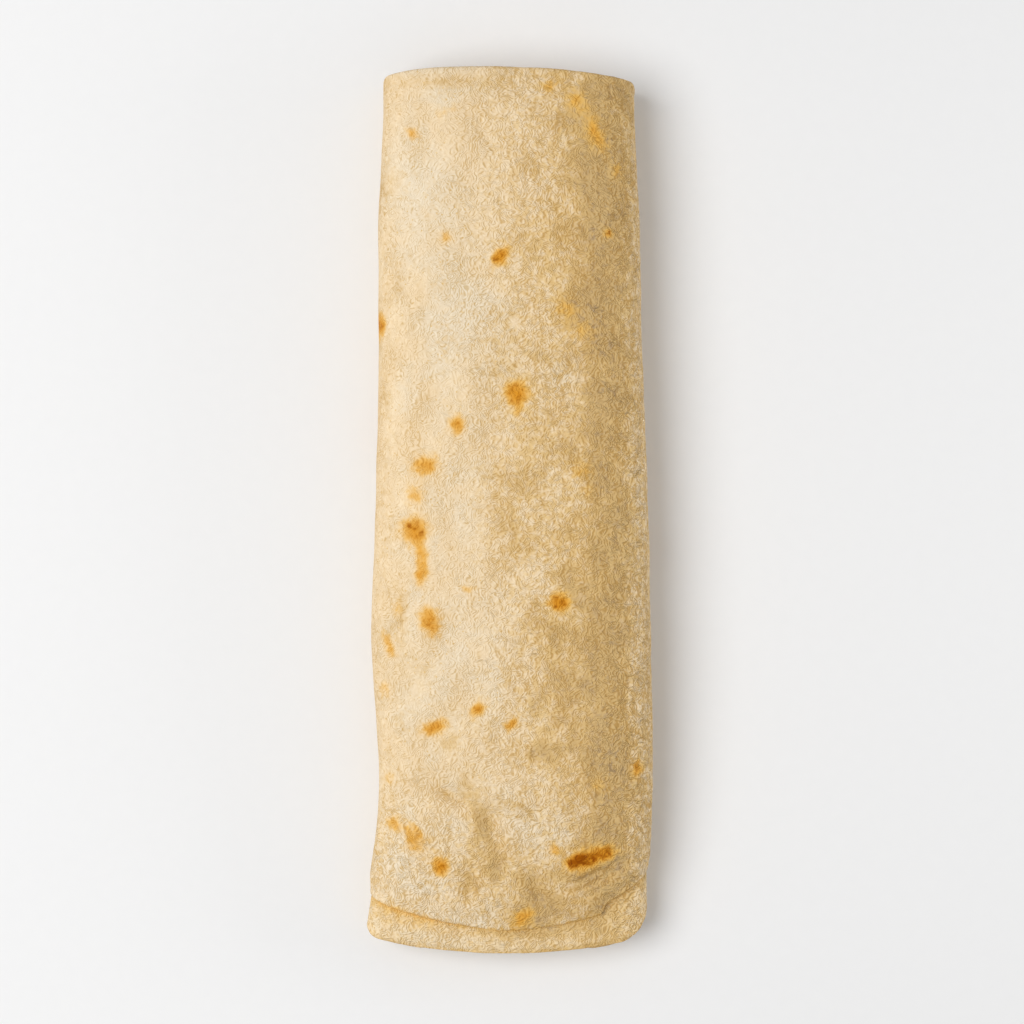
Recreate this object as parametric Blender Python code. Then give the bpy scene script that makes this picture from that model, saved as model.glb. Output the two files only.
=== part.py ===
"""Baleada: a wheat tortilla rolled into a soft log, lying with its seam down.

The roll is one solid. +Y runs along it, towards the end where the outer turn stands past the inner
turns as a rim; at the other end the outer turn stops short and the inner turns show past its edge.
Each row of the mesh is a closed loop round the roll, from the middle of one end face, over the
edges and the long outer face, to the middle of the other end face.
"""

import bisect
import math

import bmesh
import bpy
from mathutils import Vector, noise

MM = 0.001

# Driving dimensions, in millimetres
LENGTH = 247.0
SHEET = 2.2
EDGE_ROUND = 0.9
COLUMNS = 78
BODY_ROWS = 31

# Share of the length from the low end, half width, height and sideways shift
SECTIONS = (
    (0.00, 40.3, 16.8, -0.8),
    (0.06, 39.7, 21.6, -0.1),
    (0.19, 38.3, 28.0, 1.8),
    (0.36, 39.1, 31.5, 0.8),
    (0.51, 38.1, 32.5, 0.9),
    (0.66, 36.9, 32.5, 0.5),
    (0.83, 36.4, 32.0, 0.1),
    (0.95, 35.2, 29.5, 0.0),
    (1.00, 35.3, 26.5, 0.1),
)
FLAT_SINK = 0.1
FLAT_SINK_LEAST = 2.0
FLAT_ROUND = 1.5

# The outer turn's edge at the low end: a blunt point in the middle, cut off at the right corner
OUTER_SETBACK = 7.2
OUTER_TAPER = 0.15
OUTER_POINT_ROUND = 3.0
OUTER_EDGE_RADIUS = 300.0
OUTER_EDGE_REACH = 62.0
CORNER_START = 26.0
CORNER_END = 50.0
CORNER_CUT = 6.8
CORNER_NOTCH = 2.2

# The ends of the inner turns at the low end, and of the outer turn at the high end
INNER_END_RADIUS = 185.0
INNER_FLARE = 1.8
LEFT_CORNER = 2.8
RIGHT_CORNER = 7.5
PEEK = 0.8
HIGH_END_RADIUS = 290.0
HIGH_END_SKEW = 0.027
HIGH_CORNER = 1.2
RIM_DEPTH = 5.0

# Spiral of turns on each end face: distance between turns, depth of the gap and number of loops
LOW_SPIRAL = (2.3, 1.8, 13)
HIGH_SPIRAL = (2.8, 2.6, 18)
FACE_BULGE = 0.12
STAGGER = 0.6

# The free edge of the outer turn on the underside, an arc of the tortilla's round edge
SEAM_RADIUS = 118.0
SEAM_LEAST_REACH = 60.0
SEAM_COLUMN = 61
SEAM_STEP = 1.0
SEAM_WIDTH = 0.6
SEAM_FADE = 16.0
SEAM_END_FADE = 30.0

# Soft hollows where the sheet buckles past the filling: across, along, length, width, angle, depth
HOLLOWS = (
    (-13.5, -79.4, 20.0, 6.5, -27.0, 1.3),
    (-4.4, -89.0, 15.0, 6.0, -80.0, 1.5),
    (-11.2, -103.5, 13.0, 6.0, -96.0, 1.1),
    (7.4, -103.5, 15.0, 6.0, -74.0, 1.3),
    (28.0, -99.5, 20.0, 4.0, 22.0, 1.2),
    (31.5, -105.5, 15.0, 3.5, 40.0, 1.1),
    (-7.0, 104.0, 16.0, 4.0, -60.0, 0.5),
)
UNEVENNESS = 0.35
UNEVENNESS_SIZE = 26.0

CREAM = (0.84, 0.67, 0.42, 1.0)


def smooth_step(low, high, value):
    t = min(max((value - low) / (high - low), 0.0), 1.0)
    return t * t * (3.0 - 2.0 * t)


def signed_power(value, power):
    return math.copysign(abs(value) ** power, value)


def arc_drop(radius, reach):
    """How far an arc has fallen away from its top at a distance to the side."""
    reach = min(max(reach, 0.0), radius)
    return radius - math.sqrt(radius**2 - reach**2)


def section(y):
    """Half width, height, sideways shift and squareness of the roll at y, on a smooth curve."""
    share = min(max(y / LENGTH + 0.5, 0.0), 1.0)
    last = len(SECTIONS) - 1
    i = min(sum(share > row[0] for row in SECTIONS[1:]), last - 1)
    before, start, end, after = (SECTIONS[min(max(k, 0), last)] for k in range(i - 1, i + 3))
    span = end[0] - start[0]
    t = (share - start[0]) / span
    found = []
    for k in range(1, 4):
        rise_start = (end[k] - before[k]) / (end[0] - before[0]) * span
        rise_end = (after[k] - start[k]) / (after[0] - start[0]) * span
        found.append(
            (2 * t**3 - 3 * t**2 + 1) * start[k]
            + (t**3 - 2 * t**2 + t) * rise_start
            + (3 * t**2 - 2 * t**3) * end[k]
            + (t**3 - t**2) * rise_end
        )
    half, height, shift = found
    squareness = 2.4 + 0.9 * max(0.0, 1.0 - height / 32.5)
    return half, height, shift, squareness


def arc_length_table():
    """Distance along the middle section from +X for evenly spaced angles up to half a circle."""
    half, height, _, squareness = section(0.0)
    steps = 1000
    lengths = [0.0]
    last = None
    for k in range(steps + 1):
        angle = math.pi * k / steps
        point = Vector((
            half * signed_power(math.cos(angle), 2 / squareness),
            height / 2 * signed_power(math.sin(angle), 2 / squareness),
        ))
        if last is not None:
            lengths.append(lengths[-1] + (point - last).length)
        last = point
    return lengths


ARC_LENGTHS = arc_length_table()
GIRTH = 2.0 * ARC_LENGTHS[-1]


def angle_at(turn):
    """The section angle at a share of the girth, counted from +X over the top: 0.25 is the top middle."""
    half_turns, rest = divmod(turn % 1.0, 0.5)
    wanted = rest * GIRTH
    k = min(bisect.bisect_right(ARC_LENGTHS, wanted), len(ARC_LENGTHS) - 1)
    part = (wanted - ARC_LENGTHS[k - 1]) / (ARC_LENGTHS[k] - ARC_LENGTHS[k - 1])
    return math.pi * (half_turns + (k - 1 + part) / (len(ARC_LENGTHS) - 1))


def seam_turn(share):
    """Where the free edge lies round the roll: furthest under it at the middle of the length."""
    y = (share - 0.5) * LENGTH
    reach = math.sqrt(max(SEAM_RADIUS**2 - y**2, 0.0))
    return 1.25 - (reach**6 + SEAM_LEAST_REACH**6) ** (1 / 6) / GIRTH


def column_turn(column, share, evenness=0.0):
    """Share of the girth at a column; below, the columns are moved so that one runs along the seam."""
    turn = column / COLUMNS
    if turn <= 0.5:
        return turn
    edge = seam_turn(share)
    if column >= SEAM_COLUMN:
        moved = 1.0 - (1.0 - turn) * (1.0 - edge) / (1.0 - SEAM_COLUMN / COLUMNS)
    else:
        before = (turn - 0.5) / ((SEAM_COLUMN - 1) / COLUMNS - 0.5)
        moved = 0.5 + before * (edge - SEAM_WIDTH / GIRTH - 0.5)
    return moved + (turn - moved) * evenness


def rolled_distance(turn):
    """Distance along the sheet from the middle of the top: positive to the right, negative to the left."""
    return GIRTH * (0.25 - turn) if turn <= 0.75 else GIRTH * (1.25 - turn)


def hollow_depth(x, y):
    """How far the sheet is pressed in at a place seen from above."""
    depth = 0.0
    for across, along, length, width, angle, deep in HOLLOWS:
        turn = math.radians(angle)
        dx, dy = x - across, y - along
        down = (dx * math.cos(turn) + dy * math.sin(turn)) / (length / 2)
        over = (dy * math.cos(turn) - dx * math.sin(turn)) / (width / 2)
        depth += deep * math.exp(-(down**2) - over**2)
    return depth


def seam_lift(turn, edge):
    """How far the turn beyond the free edge is off the ground there, on the underside."""
    beyond = (edge - turn) * GIRTH
    if turn < 0.5 or beyond < SEAM_WIDTH / 2:
        return 0.0
    return SEAM_STEP * math.exp(-beyond / SEAM_FADE) * smooth_step(0.52, 0.6, turn)


def flattened(z):
    """Height above the ground of a soft skin that would hang down to z."""
    if z >= FLAT_ROUND:
        return z
    return max(z + FLAT_ROUND, 0.0) ** 2 / (4.0 * FLAT_ROUND)


def place(turn, y, inset, edge=0.0, flare=0.0):
    """The point at a share of the girth and at y, inset under the outer face, in metres."""
    half, height, shift, squareness = section(y)
    angle = angle_at(turn)
    across = signed_power(math.cos(angle), 2 / squareness)
    up = signed_power(math.sin(angle), 2 / squareness)
    sink = max(FLAT_SINK * height, FLAT_SINK_LEAST)
    outer_up = flattened((height - sink) / 2 + (height + sink) / 2 * up)
    sag = 0.75 * min(inset, SHEET) * smooth_step(0.3, 0.9, -up)
    depth = inset - sag
    x = shift + (half - depth + flare) * across
    free = smooth_step(-0.5, 0.3, up)
    swell = UNEVENNESS * free * noise.noise(Vector((x, y, outer_up)) / UNEVENNESS_SIZE)
    pressed = hollow_depth(x, y) * smooth_step(0.0, 0.5, up) - swell
    lift = seam_lift(turn, edge) * max(1.0 - inset / SHEET, 0.0)
    lift *= smooth_step(RIM_DEPTH, SEAM_END_FADE, LENGTH / 2 - abs(y))
    z = outer_up - (depth + pressed) * up + lift
    return Vector((x + swell * across, y, max(z, 0.0))) * MM


def outer_low_end(turn):
    """Where the outer turn ends at the low end, with its corner torn off at the right."""
    rolled = rolled_distance(turn)
    reach = min(abs(rolled), OUTER_EDGE_REACH)
    taper = OUTER_TAPER * (math.hypot(reach, OUTER_POINT_ROUND) - OUTER_POINT_ROUND)
    corner = CORNER_CUT * min(max((rolled - CORNER_START) / (CORNER_END - CORNER_START), 0.0), 1.0)
    corner += CORNER_NOTCH * smooth_step(CORNER_START, CORNER_START + 2.0, rolled)
    corner *= smooth_step(GIRTH / 2, GIRTH / 3, abs(rolled))
    return -LENGTH / 2 + OUTER_SETBACK + taper + arc_drop(OUTER_EDGE_RADIUS, reach) + corner


def inner_low_end(turn):
    """Where the inner turns end at the low end, with a rounded corner at each side."""
    half, _, _, squareness = section(-LENGTH / 2)
    x = half * signed_power(math.cos(angle_at(turn)), 2 / squareness)
    corner = RIGHT_CORNER if x > 0 else LEFT_CORNER
    rounding = arc_drop(corner, abs(x) - (half - corner))
    return -LENGTH / 2 + arc_drop(INNER_END_RADIUS, abs(x)) + rounding


def outer_high_end(turn):
    half, _, _, squareness = section(LENGTH / 2)
    x = half * signed_power(math.cos(angle_at(turn)), 2 / squareness)
    rounding = arc_drop(HIGH_CORNER, abs(x) - (half - HIGH_CORNER))
    return LENGTH / 2 - arc_drop(HIGH_END_RADIUS, abs(x)) - HIGH_END_SKEW * x - rounding


def peek_depth(turn):
    """How far the third turn's edge stands past the second's, near both sides of the low end's top."""
    angle = angle_at(turn)
    side = abs(math.cos(angle))
    window = smooth_step(0.4, 0.6, side) * (1.0 - smooth_step(0.85, 1.0, side))
    return PEEK * window * smooth_step(0.0, 0.2, math.sin(angle))


def spiral_face(end, share, spiral, peek=None, flare=0.0):
    """Loops over an end face from its outer turn to its middle, dipping where the spiral's gap passes."""
    pitch, gap_depth, loops = spiral
    inward = 1.0 if share < 0.5 else -1.0
    rows = []
    for k in range(1, loops + 1):
        row = []
        for column in range(COLUMNS):
            turn = column_turn(column, share, k / loops)
            y = end(turn)
            reach = section(y)[1] / 2 - SHEET
            inset = SHEET + 0.94 * reach * k / loops
            depth = (inset - SHEET) / pitch
            coil = depth - smooth_step(0.5, 1.0, turn)
            gap = gap_depth * (0.5 + 0.5 * math.cos(2 * math.pi * coil)) ** 4
            gap *= smooth_step(0.05, 0.3, depth)
            uneven = STAGGER * (1.0 + math.sin(2.4 * (math.floor(coil) + turn) + 1.0))
            back = gap + uneven * smooth_step(0.75, 0.95, depth) + FACE_BULGE * (inset - SHEET)
            past = peek(turn) * smooth_step(0.95, 1.2, depth) if peek else 0.0
            point = place(turn, y, inset, flare=flare * (1.0 - k / loops))
            row.append(point + Vector((0.0, inward * (back * (1.0 - past / PEEK) - past) * MM, 0.0)))
        rows.append(row)
    return rows


def loop(end, share, set_in, inset, flare=0.0):
    """A loop round the roll at a distance in from an end."""
    edge = seam_turn(share)
    row = []
    for column in range(COLUMNS):
        turn = column_turn(column, share)
        row.append(place(turn, end(turn) + set_in, inset, edge, flare))
    return row


def low_end_rows():
    rows = spiral_face(inner_low_end, 0.0, LOW_SPIRAL, peek_depth, INNER_FLARE)[::-1]
    rows.append(loop(inner_low_end, 0.0, 0.3 * EDGE_ROUND, 1.15 * SHEET, INNER_FLARE))
    rows.append(loop(inner_low_end, 0.0, EDGE_ROUND, SHEET, INNER_FLARE))
    for part in (0.35, 0.7, 1.0):
        row = []
        for column in range(COLUMNS):
            turn = column_turn(column, 0.0)
            low = inner_low_end(turn) + EDGE_ROUND
            y = low + part * (outer_low_end(turn) - 0.3 * EDGE_ROUND - low)
            row.append(place(turn, y, SHEET, flare=INNER_FLARE * (1.0 - 0.4 * part)))
        rows.append(row)
    rows.append(loop(outer_low_end, 0.0, 0.0, 0.5 * SHEET))
    rows.append(loop(outer_low_end, 0.0, 0.3 * EDGE_ROUND, 0.15 * SHEET))
    return rows


def body_rows():
    """Loops along the outer face, closer together near the ends."""
    rows = []
    for i in range(BODY_ROWS + 1):
        even = i / BODY_ROWS
        share = 0.5 * even + 0.25 * (1.0 - math.cos(math.pi * even))
        edge = seam_turn(share)
        row = []
        for column in range(COLUMNS):
            turn = column_turn(column, share)
            low = outer_low_end(turn) + EDGE_ROUND
            high = outer_high_end(turn) - EDGE_ROUND
            row.append(place(turn, low + share * (high - low), 0.0, edge))
        rows.append(row)
    return rows


def high_end_rows():
    rows = [
        loop(outer_high_end, 1.0, -set_in, inset * SHEET)
        for set_in, inset in (
            (0.3 * EDGE_ROUND, 0.15),
            (0.0, 0.5),
            (0.3 * EDGE_ROUND, 0.85),
            (EDGE_ROUND, 1.0),
            (RIM_DEPTH, 1.0),
        )
    ]
    return rows + spiral_face(lambda turn: outer_high_end(turn) - RIM_DEPTH, 1.0, HIGH_SPIRAL)


def join_rows(mesh, rows):
    """Lofts the loops into one skin and closes the slit that is left in the middle of each end face."""
    loops = [[mesh.verts.new(point) for point in row] for row in rows]
    for first, second in zip(loops, loops[1:]):
        for j in range(COLUMNS):
            k = (j + 1) % COLUMNS
            mesh.faces.new((first[j], first[k], second[k], second[j]))
    for end in (loops[0], loops[-1]):
        for j in range(COLUMNS // 2):
            corners = [end[j], end[j + 1], end[-j - 1], end[-j % COLUMNS]]
            mesh.faces.new(list(dict.fromkeys(corners)))
    bmesh.ops.recalc_face_normals(mesh, faces=mesh.faces)


def centre_on_origin(mesh):
    """Moves the middle of the roll's box over the origin; it already rests on z = 0."""
    for axis in (0, 1):
        places = [vertex.co[axis] for vertex in mesh.verts]
        middle = (min(places) + max(places)) / 2
        for vertex in mesh.verts:
            vertex.co[axis] -= middle


def tortilla_material():
    material = bpy.data.materials.new("soft_wheat_tortilla")
    material.use_nodes = True
    shader = material.node_tree.nodes["Principled BSDF"]
    shader.inputs["Base Color"].default_value = CREAM
    shader.inputs["Roughness"].default_value = 0.78
    shader.inputs["Metallic"].default_value = 0.0
    return material


def make_tortilla():
    mesh = bmesh.new()
    join_rows(mesh, low_end_rows() + body_rows() + high_end_rows())
    centre_on_origin(mesh)
    data = bpy.data.meshes.new("tortilla")
    mesh.to_mesh(data)
    mesh.free()
    data.materials.append(tortilla_material())
    data.shade_smooth()
    data.set_sharp_from_angle(angle=math.radians(40))
    return bpy.data.objects.new("tortilla", data)


def main():
    for old in list(bpy.data.objects):
        bpy.data.objects.remove(old)
    baleada = bpy.data.collections.new("baleada")
    bpy.context.scene.collection.children.link(baleada)
    baleada.objects.link(make_tortilla())


main()
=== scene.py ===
"""Baleada: a toasted wheat tortilla rolled into a soft log, with a crinkled, floury skin.

The roll is two pieces over the same form. The outer turn is a sheet with rounded edges, lifted a
little off what it wraps at the low end. The inner turns are one body whose two end faces show the
sheet's edges as a flattened spiral. Lengths in the form's methods are in millimetres.
"""

import math
import random

import bmesh
import bpy
import numpy as np
from bpy.props import FloatProperty, FloatVectorProperty, PointerProperty
from bpy.types import Operator, Panel, PropertyGroup
from mathutils import Color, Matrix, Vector, noise


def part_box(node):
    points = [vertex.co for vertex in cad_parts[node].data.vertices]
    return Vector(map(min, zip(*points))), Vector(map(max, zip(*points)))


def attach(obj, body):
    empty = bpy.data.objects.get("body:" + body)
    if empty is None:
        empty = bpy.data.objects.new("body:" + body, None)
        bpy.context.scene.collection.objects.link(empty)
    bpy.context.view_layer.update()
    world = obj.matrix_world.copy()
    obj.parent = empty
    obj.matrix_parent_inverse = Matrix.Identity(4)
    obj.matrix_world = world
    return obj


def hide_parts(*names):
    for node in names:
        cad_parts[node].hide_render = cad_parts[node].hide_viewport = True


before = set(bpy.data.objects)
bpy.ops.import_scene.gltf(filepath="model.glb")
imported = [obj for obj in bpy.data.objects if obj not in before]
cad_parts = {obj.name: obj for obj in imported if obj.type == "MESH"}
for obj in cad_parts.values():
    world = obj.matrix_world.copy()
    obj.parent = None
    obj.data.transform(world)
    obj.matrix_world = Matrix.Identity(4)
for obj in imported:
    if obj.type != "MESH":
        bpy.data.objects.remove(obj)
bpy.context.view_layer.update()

bl_info = {
    "name": "Baleada",
    "version": (1, 0, 0),
    "blender": (4, 5, 0),
    "location": "3D View > Sidebar > Baleada",
    "description": "Makes a toasted wheat tortilla rolled into a soft log",
    "category": "Add Mesh",
}

MM = 0.001
NODE = "tortilla"
BODY = "root"
ARC_STEPS = 2001
SEED_SHIFT = np.array((1.0, -0.7, 0.4))
LEAST_LENGTH = 1e-9

# Places round the roll, as shares of its girth from the right side over the top
TOP_MIDDLE = 0.25
LEFT_SIDE = 0.5
UNDER_MIDDLE = 0.75

# How finely the pieces are made: loops along the roll and columns round it
BODY_ROWS = 356
EDGE_ROWS = 10
RIM_ROWS = 12
RIM_SHARE = 0.06
HIDDEN_ROWS = 10
LIP_ROWS = 6
TOP_COLUMNS = 174
LEFT_COLUMNS = 26
RIGHT_COLUMNS = 34
COLUMN_EASE = 1.4
INNER_COLUMNS = 340
BAND_ROWS = 26

# Share of the length from the low end, half width, height and sideways shift
SECTIONS = np.array((
    (0.00, 40.3, 16.8, -0.8),
    (0.06, 39.7, 21.6, -0.1),
    (0.19, 38.3, 28.0, 1.8),
    (0.36, 39.1, 31.5, 0.8),
    (0.51, 38.1, 32.5, 0.9),
    (0.66, 36.9, 32.5, 0.5),
    (0.83, 36.4, 32.0, 0.1),
    (0.95, 35.2, 29.5, 0.0),
    (1.00, 35.3, 26.5, 0.1),
))
# How square the sections are, and how much squarer where the roll lies low
SQUARENESS = 2.4
LOW_SQUARENESS = 0.9
HIGHEST = SECTIONS[:, 2].max()

# The flat strip that the roll rests on, and how the sheet sags there under its own weight
FLAT_SINK = 0.1
FLAT_SINK_LEAST = 2.0
FLAT_ROUND = 1.5
SAG_SHARE = 0.75
# Where the sag, the swells and the hollows take hold, from -1 on the ground to 1 on top
SAG_RANGE = (0.3, 0.9)
SWELL_RANGE = (-0.5, 0.3)
HOLLOW_RANGE = (0.0, 0.5)

# The outer turn's edge at the low end
OUTER_TAPER = 0.15
OUTER_POINT_ROUND = 3.0
OUTER_EDGE_RADIUS = 300.0
OUTER_EDGE_REACH = 62.0
LIP_PRESS = 0.6
LIP_PRESS_WIDTH = 3.0
CORNER_START = 24.2
CORNER_END = 50.0
CORNER_CUT = 6.8
CORNER_NOTCH = 2.2
NOTCH_WIDTH = 2.0

# The ends of the inner turns at the low end, and of the outer turn at the high end
INNER_END_RADIUS = 185.0
INNER_FLARE = 1.8
LEFT_CORNER = 2.8
RIGHT_CORNER = 7.5
HIGH_END_RADIUS = 290.0
HIGH_END_SKEW = 0.027
HIGH_CORNER = 1.2

# The third layer, which peeks out of the low end: how far, and where sideways, upwards and inwards
PEEK = 0.8
PEEK_START = (0.4, 0.6)
PEEK_END = (0.85, 1.0)
PEEK_RISE = (0.0, 0.2)
PEEK_DEPTH = (0.95, 1.2)

# The inner turns past the outer one's edge and out of sight below it, in shares of that stretch
BAND_OVERLAP = 6.0
FLARE_LOSS = 0.4
FLARE_FADE = (0.15, 0.0)
HIDDEN_SINK = 1.5
SINK_START = (0.0, 0.1)
SINK_END = (1.0, 0.9)

# Spiral of turns on each end face: distance between turns, depth of the gap and number of loops
LOW_SPIRAL = (2.3, 1.8, 44)
HIGH_SPIRAL = (2.8, 2.6, 66)
FACE_BULGE = 0.12
FACE_REACH = 0.94
GAP_WIDTH = 0.2
GAP_START = (0.3, 0.6)
TURN_ROUND = 0.7
# How unevenly the turns' edges end, how fast that changes from turn to turn and where it starts
STAGGER = 0.6
STAGGER_PACE = 2.4
STAGGER_PHASE = 1.0
STAGGER_START = (0.75, 0.95)

# The free edge of the outer turn on the underside
SEAM_RADIUS = 118.0
SEAM_LEAST_REACH = 60.0
SEAM_BEND = 6
SEAM_WIDTH = 0.6
SEAM_STEPS = (1.0, 0.75, 0.5, 0.25, 0.0)
SEAM_START = (0.52, 0.6)
SEAM_FADE = 16.0
SEAM_END_FADE = 30.0

# Soft hollows where the sheet buckles past the filling: across, along, length, width, angle, depth
HOLLOWS = (
    (-13.5, -79.4, 20.0, 6.5, -27.0, 1.3),
    (-4.4, -89.0, 15.0, 6.0, -80.0, 1.5),
    (-11.2, -103.5, 13.0, 6.0, -96.0, 1.1),
    (7.4, -103.5, 15.0, 6.0, -74.0, 1.3),
    (28.0, -99.5, 20.0, 4.0, 22.0, 1.2),
    (31.5, -105.5, 15.0, 3.5, 40.0, 1.1),
    (-7.0, 104.0, 16.0, 4.0, -60.0, 0.5),
)
# Narrow creases in the skin, in the same terms
CREASES = (
    (-13.5, -79.4, 20.0, 4.0, -27.0, 0.35),
    (26.6, -98.8, 20.0, 1.4, 24.0, 0.41),
    (26.0, -101.6, 18.0, 1.3, 26.0, 0.41),
    (20.5, -103.8, 16.0, 1.3, 14.0, 0.38),
    (20.0, -107.0, 15.0, 1.2, 14.0, 0.34),
)
# Swells of the filling below the sheet
UNEVENNESS = 0.35
UNEVENNESS_SIZE = 26.0

# The skin's own relief in the mesh, in millimetres: low bumps, crinkles and folds, and their drift
BUMP = 0.22
BUMP_SIZE = 11.0
BUMP_SEED = 4.0
CRINKLE_SIZE = 2.3
CRINKLE_SEED = 2.0
FOLD_SIZE = 3.4
FOLD_SEED = 7.0
FOLD_WIDTH = 0.35
FOLD_SHARE = 0.7
FOLD_LOW = -0.5
WARP_SIZE = 4.0
WARP_REACH = 1.2
WARP_SEEDS = (3.1, 5.7, 9.2)
# The mesh carries the coarseness over this much, and only where its points lie close together
MESH_COARSENESS = 0.4
CRINKLE_SPACING = (2.2, 1.0)
# The slope that counts as fully lit, and the least distance that it is measured over
LIT_SLOPE = 0.12
LIT_SPACING = 0.2

# How coarse the crinkle is at the left, what it gains to the right or the low end, and at the right rim
COARSE_LEFT = 0.7
COARSE_GAIN = 0.58
COARSE_ACROSS = (-24.0, 14.0)
COARSE_ALONG = (-62.0, -100.0)
COARSE_RIM = (
    (20.0, 34.0, 0.65),
    (31.0, 37.0, 0.6),
)

# The material's finer crinkles: how far they drift, and three kinds with their sizes and shares
DRIFT_SIZE = 3.2
DRIFT_REACH = 2.2
CURL_SIZE = 1.3
CURL_STEEPNESS = 8.0
CURL_SHARE = 0.25
LOOP_SIZE = 1.9
LOOP_STEP = 0.09
LOOP_LOW = 0.15
LOOP_SHARE = 0.65
WIDE_LOOP_SIZE = 3.2
WIDE_LOOP_STEP = 0.1
WIDE_LOOP_LOW = 0.35
WIDE_LOOP_SHARE = 0.45
BUMP_DEPTH = 0.11

# Painted light on the sides of the crinkles: a painted highlight on the side towards the light, painted
# shade on the far side
SHADE_STEP = (-0.00025, 0.00006, 0.0)
LIT_FINE = 1.8
LIT_COARSE = 1.6
PAINTED_SHADE_SHARE = 0.64
PAINTED_HIGHLIGHT_SHARE = 0.36
PAINTED_HIGHLIGHT_TONE = (1.2, 1.3, 1.45)
NO_TONE = (1.0, 1.0, 1.0)

# Grains of the skin's colours: size in millimetres, detail, roughness and bend
WIDE_GRAIN = (34.0, 3.0, 0.6)
PATCHY_GRAIN = (7.0, 2.0, 0.55, 0.4)
MOTTLE_GRAIN = (1.6, 1.0, 0.6)
# How much the wide, the patchy and the mottled grain sway the damp
DAMP_SWAY = (1.6, 2.2, 1.3)
# How much the wide grain, the damp and the mottled grain sway the flour
FLOUR_SWAY = (1.4, 0.4, 0.5)
# How much the damp sways the tan, and the mottled grain the heat and the browning
TAN_SWAY = 0.1
HEAT_SWAY = 0.5
BROWN_SWAY = 1.4
# The range over which each colour comes in, and the most of it that comes in
FLOUR_RANGE, FLOUR_SHARE = (0.24, 0.76), 0.9
DAMP_AND_SHADE_RANGE, DAMP_AND_SHADE_SHARE = (0.0, 1.9), 0.95
SOAKED_AND_SHADED_RANGE, SOAKED_AND_SHADED_SHARE = (0.7, 2.2), 0.9
TAN_RANGE, TAN_COARSE, TAN_SHARE = (0.45, 0.68), (0.2, 1.5), 0.55
PORE_SIZE = 1.6
PORE_RANGE, PORE_PATCHES, PORE_SHARE = (0.09, 0.20), (0.40, 0.52), 0.75
HALO_START, HALO_RANGE, HALO_SHARE = (0.0, 0.25), (0.02, 0.75), 0.9
TOAST_RANGE, TOAST_SHARE = (0.3, 1.15), 0.97
BROWN_RANGE, BROWN_SHARE = (0.42, 1.15), 0.97
INNER_SHARE = 0.3
# How dull the skin is, how much less so where it is moist or toasted, and how much it mirrors
DULLNESS = 0.72
MOIST_GLOSS = 0.14
TOAST_GLOSS = 0.1
MIRRORING = 0.06
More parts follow.
